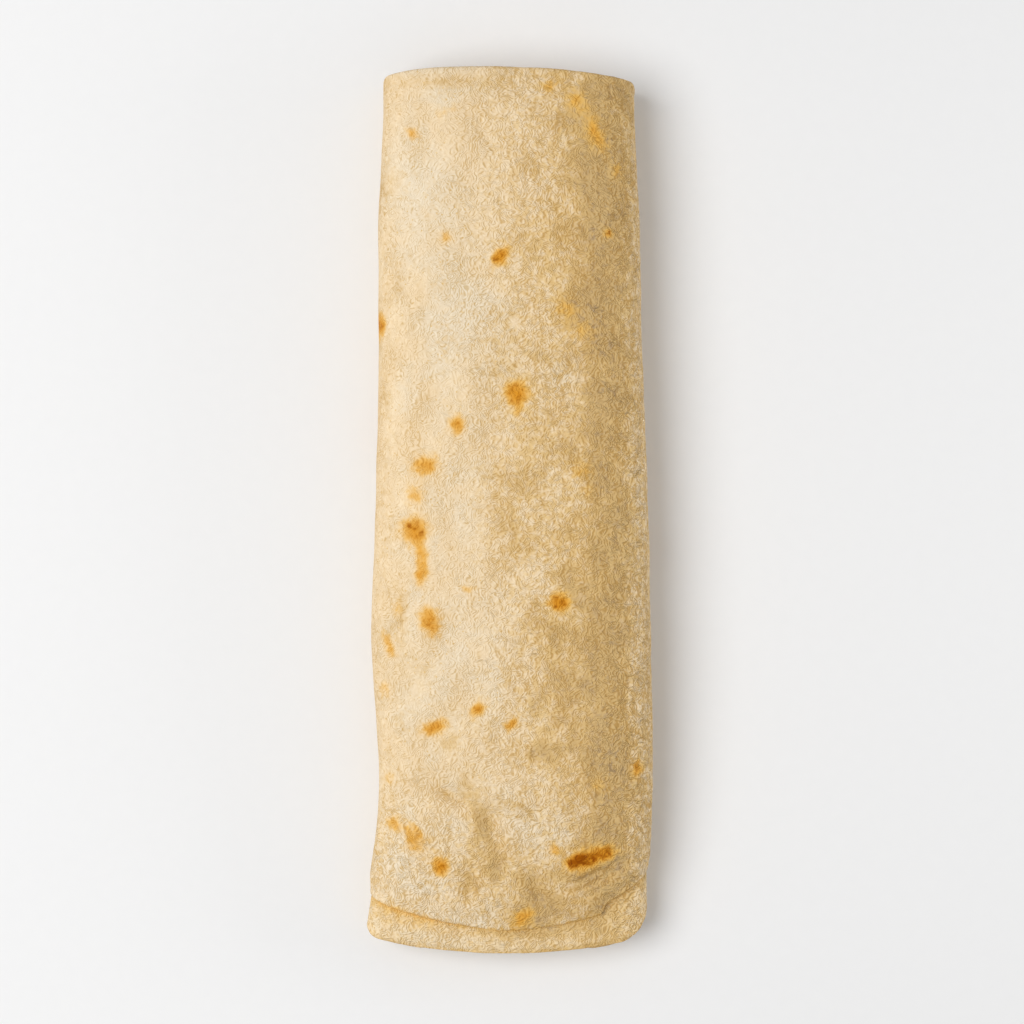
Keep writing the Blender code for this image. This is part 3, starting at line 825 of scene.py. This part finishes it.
class Recipe:
    """A material under construction, whose methods each add nodes and give back an output."""

    def __init__(self, name):
        self.material = bpy.data.materials.new(name)
        self.material.use_nodes = True
        self.tree = self.material.node_tree
        self.tree.nodes.clear()

    def node(self, kind, settings=None, sockets=None, output=0):
        """Adds a node: its settings first, then values or links for its sockets."""
        made = self.tree.nodes.new("ShaderNode" + kind)
        for name, value in (settings or {}).items():
            setattr(made, name, value)
        for name, value in (sockets or {}).items():
            if isinstance(value, Mask):
                self.tree.links.new(value.socket, made.inputs[name])
            else:
                made.inputs[name].default_value = value
        return Mask(self, made.outputs[output] if made.outputs else None)

    def place(self):
        """Where the surface is, in metres in the roll's own frame."""
        return self.node("TexCoord", output="Object")

    def grain(self, size, detail=1.0, rough=0.5, bend=0.0, vector=None, output=0):
        """Noise from 0 to 1 with grains of a size in millimetres."""
        sockets = {
            "Vector": vector or self.place(),
            "Scale": 1.0 / (size * MM),
            "Detail": detail,
            "Roughness": rough,
            "Distortion": bend,
        }
        return self.node("TexNoise", {}, sockets, output)

    def cells(self, size):
        """Distance from the middles of cells of a size in millimetres, 0 at each middle."""
        sockets = {"Vector": self.place(), "Scale": 1.0 / (size * MM)}
        return self.node("TexVoronoi", {"feature": "F1"}, sockets, "Distance")

    def loops(self, vector, size, step, low):
        """Height of winding crinkles: one for each step of a noise's height, flat below low."""
        flow = self.grain(size, 0.0, vector=vector)
        return self.rise(flow.math("PINGPONG", flow, step) * (1.0 / step), low, 1.0)

    def crinkles(self, vector):
        """Height of the skin's raised crinkles, from 0 to a little over 1."""
        fine = self.loops(vector, LOOP_SIZE, LOOP_STEP, LOOP_LOW)
        curl = 1.0 - self.rise(abs(self.grain(CURL_SIZE, vector=vector) - 0.5) * CURL_STEEPNESS, 0.0, 1.0)
        wide = self.loops(vector, WIDE_LOOP_SIZE, WIDE_LOOP_STEP, WIDE_LOOP_LOW)
        return fine * LOOP_SHARE + curl * CURL_SHARE + wide * WIDE_LOOP_SHARE

    def painted(self, name):
        """A mask that the mesh carries at its points."""
        return self.node("Attribute", {"attribute_name": name}, output="Fac")

    def rise(self, value, low, high):
        """0 at low, 1 at high and smooth between, whichever of the two is larger."""
        sockets = {"Value": value, "From Min": low, "From Max": high}
        return self.node("MapRange", {"interpolation_type": "SMOOTHSTEP"}, sockets)

    def mix(self, mask, first, second, blend="MIX"):
        """Two colours mixed by a mask."""
        settings = {"data_type": "RGBA", "blend_type": blend}
        return self.node("Mix", settings, {0: mask, 6: first, 7: second}, output=2)

    def shifted(self, vector, offset, amount):
        """A vector moved by a colour from 0 to 1, up to half an amount in millimetres each way."""
        centred = self.node("VectorMath", {"operation": "SUBTRACT"}, {0: offset, 1: (0.5, 0.5, 0.5)})
        scaled = self.node("VectorMath", {"operation": "SCALE"}, {0: centred, "Scale": amount * MM})
        return self.node("VectorMath", {"operation": "ADD"}, {0: vector, 1: scaled})


def opaque(colour):
    """A colour with nothing of what is behind it showing."""
    return (*colour, 1.0)


def dough_colour(recipe, colours, mottle, coarse):
    """Colour of the skin before it is toasted, with its floury, damp and tanned patches and its pores, and
    painted shade where the damp mask runs high.
    """
    wide = recipe.grain(*WIDE_GRAIN) - 0.5
    patchy = recipe.grain(*PATCHY_GRAIN)
    speckle = mottle - 0.5
    # The damp mask, which also carries painted shade on the right flank, in the low end's hollows and under
    # the outer turn's lip
    damp = recipe.painted("damp_and_shade")
    damp_and_shade = damp + wide * DAMP_SWAY[0] + (patchy - 0.5) * DAMP_SWAY[1] + speckle * DAMP_SWAY[2]
    # Past the damp range the skin darkens further: dampest patches, and painted shade
    soaked_and_shaded = recipe.rise(damp_and_shade, *SOAKED_AND_SHADED_RANGE)
    damp_and_shade = recipe.rise(damp_and_shade, *DAMP_AND_SHADE_RANGE)
    floury = patchy + wide * FLOUR_SWAY[0] - damp * FLOUR_SWAY[1] + speckle * FLOUR_SWAY[2]
    flour = recipe.rise(floury, *FLOUR_RANGE)
    tan = recipe.rise(mottle + damp * TAN_SWAY, *TAN_RANGE) * recipe.rise(coarse, *TAN_COARSE)
    pores = 1.0 - recipe.rise(recipe.cells(PORE_SIZE), *PORE_RANGE)
    pores = pores * recipe.rise(patchy, *PORE_PATCHES)
    colour = recipe.mix(flour * FLOUR_SHARE, opaque(colours.dough), opaque(colours.flour))
    colour = recipe.mix(damp_and_shade * DAMP_AND_SHADE_SHARE, colour, opaque(colours.damp_and_shade))
    colour = recipe.mix(soaked_and_shaded * SOAKED_AND_SHADED_SHARE, colour, opaque(colours.soaked_and_shaded))
    colour = recipe.mix(tan * TAN_SHARE, colour, opaque(colours.crease))
    return recipe.mix(pores * PORE_SHARE, colour, opaque(colours.crease)), damp_and_shade


def toasted_colour(recipe, colours, mottle, colour):
    """Toasted spots over a colour: a yellow blush, a golden ring and a brown middle."""
    # The heat mask, which besides the toasting carries painted shade along the outer turn's cut edge and
    # lip
    heat = recipe.painted("toasting_and_shade")
    uneven = (mottle - 0.5) * HEAT_SWAY
    halo = recipe.rise(heat + uneven * recipe.rise(heat, *HALO_START), *HALO_RANGE)
    toasted = recipe.rise(heat + uneven, *TOAST_RANGE)
    browned = recipe.rise(recipe.painted("browning") + (mottle - 0.5) * BROWN_SWAY, *BROWN_RANGE)
    colour = recipe.mix(halo * HALO_SHARE, colour, opaque(colours.halo))
    colour = recipe.mix(toasted * TOAST_SHARE, colour, opaque(colours.toast))
    return recipe.mix(browned * BROWN_SHARE, colour, opaque(colours.brown)), toasted


def tortilla_skin(name, colours, inner_share=0.0):
    """Crinkled wheat skin, with a painted highlight on the crinkles' sides towards the light and painted
    shade on their far sides.
    """
    recipe = Recipe(name)
    drift = recipe.grain(DRIFT_SIZE, 0.0, output="Color")
    warped = recipe.shifted(recipe.place(), drift, DRIFT_REACH)
    behind = recipe.node("VectorMath", {"operation": "ADD"}, {0: warped, 1: SHADE_STEP})
    height = recipe.crinkles(warped)
    coarse = recipe.painted("coarse")
    # How lit each side of a crinkle is, from the fine crinkles and the mesh's relief, for the painted
    # highlight and painted shade
    lit = (height - recipe.crinkles(behind)) * coarse * LIT_FINE + recipe.painted("lit") * LIT_COARSE

    mottle = recipe.grain(*MOTTLE_GRAIN)
    colour, damp_and_shade = dough_colour(recipe, colours, mottle, coarse)
    colour, toasted = toasted_colour(recipe, colours, mottle, colour)
    if inner_share:
        colour = recipe.mix(inner_share, colour, opaque(colours.inner))
    # Painted shade: the golden tone on the crinkles' far sides from the light; painted highlight: the pale
    # tone on their sides towards it
    golden = recipe.rise(lit, 0.0, -1.0) * PAINTED_SHADE_SHARE
    tone = recipe.mix(golden, opaque(NO_TONE), opaque(colours.shaded))
    pale = recipe.rise(lit, 0.0, 1.0) * PAINTED_HIGHLIGHT_SHARE
    tone = recipe.mix(pale, tone, opaque(PAINTED_HIGHLIGHT_TONE))

    relief = {"Strength": 1.0, "Distance": BUMP_DEPTH * MM, "Height": height * coarse}
    shader = recipe.node("BsdfPrincipled", {}, {
        "Base Color": recipe.mix(1.0, colour, tone, "MULTIPLY"),
        "Roughness": DULLNESS - damp_and_shade * MOIST_GLOSS - toasted * TOAST_GLOSS,
        "Normal": recipe.node("Bump", {}, relief),
        "Specular IOR Level": MIRRORING,
    })
    recipe.node("OutputMaterial", {}, {"Surface": shader})
    return recipe.material


def make_piece(name, points, skin, closed, marks):
    """Makes a piece of the roll from loops of points in millimetres and gives it its body and slot.

    A closed piece joins its last loop to its first. An open one has quads across both.
    """
    rows, columns = points.shape[:2]
    index = np.arange(rows * columns).reshape(rows, columns)
    ahead = np.roll(index, -1, axis=0)
    if not closed:
        index, ahead = index[:-1], ahead[:-1]
    sides = (index, ahead, np.roll(ahead, -1, axis=1), np.roll(index, -1, axis=1))
    faces = np.stack(sides, axis=-1).reshape(-1, 4).tolist()
    if not closed:
        first, last = list(range(columns)), list(range((rows - 1) * columns, rows * columns))
        for loop, step in ((first, 1), (last, -1)):
            for j in range(columns // 2):
                corners = [loop[j], loop[j + 1], loop[-j - 1], loop[-j % columns]]
                faces.append(list(dict.fromkeys(corners))[::step])
    mesh = bpy.data.meshes.new(name)
    mesh.from_pydata((points.reshape(-1, 3) * MM).tolist(), [], faces)
    mesh.shade_smooth()
    for mark, values in marks.items():
        kept = mesh.attributes.new(mark, "FLOAT", "POINT")
        kept.data.foreach_set("value", values.astype(np.float32).ravel())
    mesh.materials.append(skin)
    piece = bpy.data.objects.new(name, mesh)
    bpy.context.scene.collection.objects.link(piece)
    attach(piece, BODY)
    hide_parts(NODE)


def off_centre(form):
    """How far the middle of the roll's own box lies from the CAD solid's, across and along."""
    outer, _ = form.outer_turn()
    inner, _ = form.inner_turns()
    points = np.concatenate((outer.reshape(-1, 3), inner.reshape(-1, 3)))
    low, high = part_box(NODE)
    middle = (points.min(axis=0) + points.max(axis=0)) / 2
    return np.array((middle[0] - (low.x + high.x) / 2 / MM, middle[1] - (low.y + high.y) / 2 / MM, 0.0))


def top_share(form, turn):
    """1 on the half of the roll that faces up, 0 below it."""
    return smooth_step(*TOP_FADE, TOP_MIDDLE - np.abs(form.rolled_distance(turn)) / form.girth)


def skin_marks(form, points, turn, loops_in, damp, lip_damp_and_shade):
    """The masks that the skin's material reads: how heated, browned, damp and coarse each point is, where
    the heat and damp masks also carry painted shade.

    Damp is how damp the piece is all over, and the last argument what it gains along the outer turn's low
    edge: on the inner turns a golden band, partly damp colour and partly painted shade under the lip.
    """
    drift = [MARK_DRIFT * noise_at(points, MARK_DRIFT_SIZE, seed) for seed in MARK_DRIFT_SEEDS]
    x, y = points[..., 0] + drift[0], points[..., 1] + drift[1]
    top = top_share(form, turn)
    spotted = smooth_step(*FACE_FADE, loops_in)
    shown = spot_masks(SPOTS, x, y)
    hidden = spot_masks(scattered_spots(form), form.rolled_distance(turn) + drift[0], y)
    past_outer = points[..., 1] - form.outer_low_end(turn)
    past_inner = points[..., 1] - form.inner_low_end(turn)
    lip = np.exp(-((past_outer / LIP_WIDTH) ** 2))
    cut = np.exp(-((past_outer / CUT_WIDTH) ** 2))
    rim = np.exp(-((past_inner / RIM_WIDTH) ** 2))
    third = smooth_step(*THIRD_EDGE, past_inner) * smooth_step(*THIRD_FADE, loops_in)
    # The brown line along the cut is painted shade under the outer turn's lip, and the lip's heat is partly
    # painted shade
    heat = spotted * shown[0] + max(lip_damp_and_shade, 0.0) * LIP_HEAT_AND_SHADE * lip + CUT_EDGE_SHADE * cut
    heat = heat + RIM_HEAT * rim + THIRD_HEAT * third
    damp_and_shade = strokes(x, y, DAMP_AND_SHADE_PATCHES) + gained(x, DAMP_AND_SHADE_ACROSS) + lip_damp_and_shade * lip + rim
    return {
        "toasting_and_shade": heat * top + spotted * hidden[0] * (1.0 - top),
        "browning": spotted * shown[1] * top + spotted * hidden[1] * (1.0 - top),
        "damp_and_shade": damp + damp_and_shade * top,
        "coarse": 1.0 + (coarseness(x, y) - 1.0) * top,
    }


def make_turns(name, form, loops, closed, damp, skin):
    """Sets the loops of a piece in the middle, marks and crinkles them, and makes the piece."""
    points, turn = loops
    points = points - off_centre(form)
    loops_in = 0.0 if closed else form.loops_in(len(points))
    marks = skin_marks(form, points, turn, loops_in, *damp)
    points, marks["lit"] = crinkled(points, top_share(form, turn), form.crinkle)
    make_piece(name, points, skin, closed, marks)


def size_property(name, description, default, **limits):
    """A length in metres, with its limits."""
    words = {"name": name, "description": description}
    return FloatProperty(**words, default=default, unit="LENGTH", precision=5, **limits)


def colour_property(name, description, default):
    """A colour without alpha."""
    words = {"name": name, "description": description}
    return FloatVectorProperty(**words, default=default, subtype="COLOR", size=3, min=0.0, max=1.0)


class BaleadaSizes(PropertyGroup):
    """Sizes of the roll and its sheet"""

    length: size_property("Length", "Length of the roll", 0.247, min=0.1)
    sheet: size_property("Sheet", "Thickness of the tortilla", 0.0022, min=0.0005)
    edge_round: size_property("Edge round", "How far a cut edge bulges out", 0.0009, min=0.0001)
    setback: size_property("Setback", "How far the outer turn stops short at the low end", 0.0072, min=0.0)
    rim_depth: size_property("Rim depth", "How deep the rest lies inside the outer turn's high end", 0.005)
    seam_step: size_property("Seam step", "Lift of the skin past the free edge below", 0.001, min=0.0)
    gap: size_property("Gap", "Air between the outer turn and the next", 0.00025, min=0.0)
    crinkle: size_property("Crinkle", "Depth of the crinkles in the skin", 0.00005, min=0.0)


class BaleadaColours(PropertyGroup):
    """Colours of the tortilla"""

    dough: colour_property("Dough", "Cooked dough", (0.80, 0.62, 0.395))
    flour: colour_property("Flour", "Dry, floury skin", (0.78, 0.655, 0.478))
    # Damp colour; where the damp mask is raised on the right flank it is partly painted shade
    damp_and_shade: colour_property("Moist", "Damp, see-through patches", (0.64, 0.405, 0.14))
    # Dampest colour, and painted shade on the right flank and in the low end's hollows
    soaked_and_shaded: colour_property("Soaked", "Dampest, darkest patches", (0.41, 0.285, 0.16))
    crease: colour_property("Crease", "Bottom of the creases", (0.70, 0.46, 0.17))
    # Painted shade: the tone multiplied into the crinkles' far sides from the light
    shaded: colour_property("Shaded", "Tone of the far sides of the crinkles", (0.72, 0.60, 0.36))
    halo: colour_property("Halo", "First yellow blush round a toasted spot", (0.80, 0.46, 0.095))
    toast: colour_property("Toast", "Toasted spots", (0.65, 0.26, 0.014))
    brown: colour_property("Brown", "Darkest middle of the spots", (0.31, 0.078, 0.0))
    inner: colour_property("Inner", "Turns inside, which stay damp", (0.87, 0.61, 0.28))


class BaleadaStage(PropertyGroup):
    """Floor, lights and camera"""

    height: size_property("Camera height", "How far the camera is over the floor", 0.80, min=0.2)
    across: size_property("Camera across", "How far right of the roll's middle it is", 0.00078)
    along: size_property("Camera along", "How far past the roll's middle it is", 0.00025)
    lens: FloatProperty(name="Lens", description="Focal length in millimetres", default=98.57, min=20.0)
    floor: size_property("Floor", "Side of the floor", 4.0, min=0.5)
    floor_colour: colour_property("Floor colour", "Pale floor", (0.84, 0.84, 0.84))
    key: FloatProperty(name="Key", description="Power of the soft light from the upper left", default=11.0)
    side: FloatProperty(name="Side", description="Power of the weak light from the right", default=0.9)
    sky: FloatProperty(name="Sky", description="Strength of the even light all round", default=0.44)


class BALEADA_OT_outer_turn(Operator):
    """Make the outer turn: a sheet with rounded edges and its toasted spots"""

    bl_idname = "baleada.outer_turn"
    bl_label = "Outer turn"

    def execute(self, context):
        form = RollForm(context.scene.baleada_sizes)
        skin = tortilla_skin("toasted_wheat_skin", context.scene.baleada_colours)
        make_turns("outer_turn", form, form.outer_turn(), True, OUTER_DAMP, skin)
        return {"FINISHED"}


class BALEADA_OT_inner_turns(Operator):
    """Make the inner turns, which show past the outer one at the low end and on both end faces"""

    bl_idname = "baleada.inner_turns"
    bl_label = "Inner turns"

    def execute(self, context):
        form = RollForm(context.scene.baleada_sizes)
        skin = tortilla_skin("damp_inner_skin", context.scene.baleada_colours, INNER_SHARE)
        make_turns("inner_turns", form, form.inner_turns(), False, INNER_DAMP_AND_LIP_SHADE, skin)
        return {"FINISHED"}


class BALEADA_OT_stage(Operator):
    """Make the pale floor, the soft studio light and the camera straight above"""

    bl_idname = "baleada.stage"
    bl_label = "Stage"

    def execute(self, context):
        scene = context.scene
        stage = scene.baleada_stage
        self.lay_floor(scene, stage)
        key = self.hang_light(scene, "key_light", stage.key, KEY_SIZE, KEY_PLACE)
        key.data.shape = "DISK"
        self.hang_light(scene, "side_light", stage.side, SIDE_SIZE, SIDE_PLACE)
        world = bpy.data.worlds.new("studio_air")
        world.use_nodes = True
        air = world.node_tree.nodes["Background"].inputs
        air["Color"].default_value = opaque(SKY_COLOUR)
        air["Strength"].default_value = stage.sky
        scene.world = world
        scene.view_settings.view_transform = "Standard"
        camera = bpy.data.objects.new("camera", bpy.data.cameras.new("camera"))
        camera.data.lens = stage.lens
        camera.location = (stage.across, stage.along, stage.height)
        scene.collection.objects.link(camera)
        scene.camera = camera
        return {"FINISHED"}

    def lay_floor(self, scene, stage):
        """A large square floor, a little uneven in tone."""
        mesh = bmesh.new()
        bmesh.ops.create_grid(mesh, x_segments=1, y_segments=1, size=stage.floor / 2)
        data = bpy.data.meshes.new("floor")
        mesh.to_mesh(data)
        mesh.free()
        recipe = Recipe("pale_floor")
        light, dark = stage.floor_colour, FLOOR_SHADE * Color(stage.floor_colour)
        colour = recipe.mix(recipe.grain(*FLOOR_GRAIN), opaque(light), opaque(dark))
        surface = {"Base Color": colour, "Roughness": FLOOR_DULLNESS}
        shader = recipe.node("BsdfPrincipled", {}, surface)
        recipe.node("OutputMaterial", {}, {"Surface": shader})
        data.materials.append(recipe.material)
        floor = bpy.data.objects.new("floor", data)
        scene.collection.objects.link(floor)

    def hang_light(self, scene, name, power, size, place):
        """A round area light that looks at the roll."""
        data = bpy.data.lights.new(name, "AREA")
        data.energy = power
        data.size = size
        light = bpy.data.objects.new(name, data)
        light.location = place
        light.rotation_euler = (-Vector(place)).to_track_quat("-Z", "Y").to_euler()
        scene.collection.objects.link(light)
        return light


class BALEADA_PT_panel(Panel):
    """Sizes and colours of the baleada, and its pieces in the order they are made"""

    bl_idname = "BALEADA_PT_panel"
    bl_label = "Baleada"
    bl_space_type = "VIEW_3D"
    bl_region_type = "UI"
    bl_category = "Baleada"

    def draw(self, context):
        scene = context.scene
        for group in (scene.baleada_sizes, scene.baleada_colours, scene.baleada_stage):
            box = self.layout.box()
            for name in group.__annotations__:
                box.prop(group, name)
        for operator in PIECE_OPERATORS:
            self.layout.operator(operator.bl_idname)


GROUPS = (BaleadaSizes, BaleadaColours, BaleadaStage)
PIECE_OPERATORS = (BALEADA_OT_outer_turn, BALEADA_OT_inner_turns, BALEADA_OT_stage)


def register():
    for kind in GROUPS + PIECE_OPERATORS + (BALEADA_PT_panel,):
        bpy.utils.register_class(kind)
    bpy.types.Scene.baleada_sizes = PointerProperty(type=BaleadaSizes)
    bpy.types.Scene.baleada_colours = PointerProperty(type=BaleadaColours)
    bpy.types.Scene.baleada_stage = PointerProperty(type=BaleadaStage)


def unregister():
    del bpy.types.Scene.baleada_stage
    del bpy.types.Scene.baleada_colours
    del bpy.types.Scene.baleada_sizes
    for kind in reversed(GROUPS + PIECE_OPERATORS + (BALEADA_PT_panel,)):
        bpy.utils.unregister_class(kind)


def main():
    register()
    bpy.ops.baleada.stage()
    bpy.ops.baleada.outer_turn()
    bpy.ops.baleada.inner_turns()


if __name__ == "__main__":
    main()
